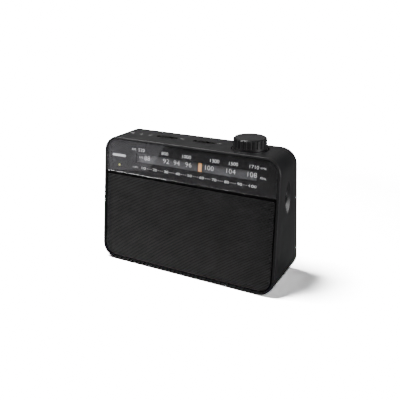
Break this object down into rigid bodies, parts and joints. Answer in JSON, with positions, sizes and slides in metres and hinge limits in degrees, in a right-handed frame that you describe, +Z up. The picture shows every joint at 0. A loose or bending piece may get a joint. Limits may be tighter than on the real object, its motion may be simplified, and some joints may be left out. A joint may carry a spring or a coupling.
{
  "type": "portable radio",
  "caption": "Wedge-shaped portable radio in black plastic with a dial window, louvred grille, top tuning knob, side volume wheel, slide switches, rear battery door and telescopic antenna.",
  "frame": {"origin": "on the ground under the middle of the base", "axes": "+X to the radio's right seen from the front, -Y out of the dial, +Z up"},
  "size_m": [0.1896, 0.0668, 0.1392],
  "materials": {
    "cabinet_plastic": "fine satin texture, black",
    "grille_plastic": "matt black, fine level louvres",
    "frame_plastic": "plain moulded black",
    "lens_plastic": "clear glossy window",
    "scale_print": "black printed sheet",
    "strip_print": "pale grey sheet",
    "nameplate_metal": "brushed, blank",
    "led_plastic": "clear diffused",
    "pointer_plastic": "pale orange",
    "knob_plastic": "satin black",
    "gear_plastic": "natural acetal",
    "brass": "turned",
    "steel": "plated steel",
    "antenna_chrome": "polished",
    "cell_wrap": "plain sleeve",
    "cord_thread": "waxed thread",
    "cone_paper": "pressed paper",
    "surround_rubber": "foam rubber",
    "coil_copper": "enamelled winding",
    "board_laminate": "phenolic board",
    "component_plastic": "moulded",
    "ferrite": "sintered, dark grey"
  },
  "bodies": {
    "housing": {"cabinet": "cabinet_plastic", "dial_lens": "lens_plastic", "front_grille": "grille_plastic", "front_baffle": "frame_plastic", "dial_scale": "scale_print", "scale_backing": "strip_print", "nameplate": "nameplate_metal", "power_led": "led_plastic", "speaker_frame": "steel", "speaker_magnet": "steel", "speaker_surround": "surround_rubber", "inner_screws": "steel", "rear_cover": "cabinet_plastic", "cover_screws": "steel", "battery_tray": "frame_plastic", "batteries": "cell_wrap", "battery_contacts": "steel", "battery_spring": "steel", "chassis": "frame_plastic", "pointer_rail": "steel", "knob_collar": "cabinet_plastic", "tuning_gang": "component_plastic", "idler_pins": "steel", "dial_cord": "cord_thread", "switch_bodies": "component_plastic", "circuit_board": "board_laminate", "tuned_coils": "steel", "power_capacitors": "component_plastic", "radio_chip": "component_plastic", "volume_pot": "component_plastic", "ferrite_rod": "ferrite", "aerial_coil": "coil_copper", "rod_clips": "frame_plastic", "headphone_jack": "component_plastic", "antenna_bracket": "steel", "rubber_feet": "surround_rubber"},
    "tuning": {"tuning_knob": "knob_plastic", "tuning_shaft": "steel", "cord_drum": "frame_plastic", "drive_pinion": "brass"},
    "pointer": {"pointer_carriage": "frame_plastic", "dial_pointer": "pointer_plastic"},
    "gang_rotor": {"gang_gear": "gear_plastic", "gang_shaft": "brass"},
    "idler_left": {"idler_left_pulley": "frame_plastic"},
    "idler_right": {"idler_right_pulley": "frame_plastic"},
    "volume": {"volume_wheel": "knob_plastic"},
    "band": {"band_slider": "knob_plastic"},
    "power": {"power_slider": "knob_plastic"},
    "door": {"battery_door": "cabinet_plastic"},
    "cone": {"speaker_cone": "cone_paper", "dust_cap": "cone_paper", "voice_coil": "coil_copper"},
    "swivel": {"antenna_swivel": "antenna_chrome", "antenna_pin": "steel"},
    "antenna": {"antenna_section_1": "antenna_chrome"},
    "antenna_2": {"antenna_section_2": "antenna_chrome"},
    "antenna_3": {"antenna_section_3": "antenna_chrome"},
    "antenna_4": {"antenna_tip": "antenna_chrome"}
  },
  "joints": [
    {"name": "tuning_turn", "type": "hinge", "parent": "housing", "child": "tuning", "pos_m": [0.055, -0.001, 0.1282], "axis": [0, 0, 1], "range_deg": [-417, 486]},
    {"name": "pointer_slide", "type": "slide", "parent": "housing", "child": "pointer", "axis": [1, 0, 0], "range_m": [-0.0635, 0.0545]},
    {"name": "gang_turn", "type": "hinge", "parent": "housing", "child": "gang_rotor", "pos_m": [0.0378, 0.00432, 0.1], "axis": [0, 0, 1], "range_deg": [-97.5, 83.5]},
    {"name": "idler_left_turn", "type": "hinge", "parent": "housing", "child": "idler_left", "pos_m": [-0.07, -0.0085, 0.109], "axis": [0, 0, 1], "range_deg": [-730, 626]},
    {"name": "idler_right_turn", "type": "hinge", "parent": "housing", "child": "idler_right", "pos_m": [0.084, -0.0085, 0.109], "axis": [0, 0, 1], "range_deg": [-730, 626]},
    {"name": "volume_turn", "type": "hinge", "parent": "housing", "child": "volume", "pos_m": [0.07963, -0.0015, 0.088], "axis": [0, 1, 0], "range_deg": [0, 280]},
    {"name": "band_slide", "type": "slide", "parent": "housing", "child": "band", "axis": [1, 0, 0], "range_m": [0, 0.005]},
    {"name": "power_slide", "type": "slide", "parent": "housing", "child": "power", "axis": [1, 0, 0], "range_m": [0, 0.005]},
    {"name": "door_hinge", "type": "hinge", "parent": "housing", "child": "door", "pos_m": [0, 0.03148, 0.005], "axis": [-1, 0, 0], "range_deg": [0, 80]},
    {"name": "cone_move", "type": "slide", "parent": "housing", "child": "cone", "axis": [0, -0.9959, 0.0906], "range_m": [-0.001, 0.001], "stiffness_N_per_m": 1000},
    {"name": "antenna_spin", "type": "hinge", "parent": "housing", "child": "swivel", "pos_m": [0.036, 0.01569, 0.12], "axis": [1, 0, 0], "range_deg": [0, 90]},
    {"name": "antenna_tilt", "type": "hinge", "parent": "swivel", "child": "antenna", "pos_m": [0.036, 0.01569, 0.12], "axis": [0, 0, -1], "range_deg": [0, 90]},
    {"name": "section_2_slide", "type": "slide", "parent": "antenna", "child": "antenna_2", "axis": [-1, 0, 0], "range_m": [0, 0.09]},
    {"name": "section_3_slide", "type": "slide", "parent": "antenna_2", "child": "antenna_3", "axis": [-1, 0, 0], "range_m": [0, 0.09]},
    {"name": "tip_slide", "type": "slide", "parent": "antenna_3", "child": "antenna_4", "axis": [-1, 0, 0], "range_m": [0, 0.09]}
  ],
  "couplings": [
    {"joint": "tuning_turn", "follows": "pointer_slide", "rad_per_m": -133.12},
    {"joint": "gang_turn", "follows": "pointer_slide", "rad_per_m": 26.624},
    {"joint": "idler_left_turn", "follows": "pointer_slide", "rad_per_m": 200},
    {"joint": "idler_right_turn", "follows": "pointer_slide", "rad_per_m": 200}
  ]
}
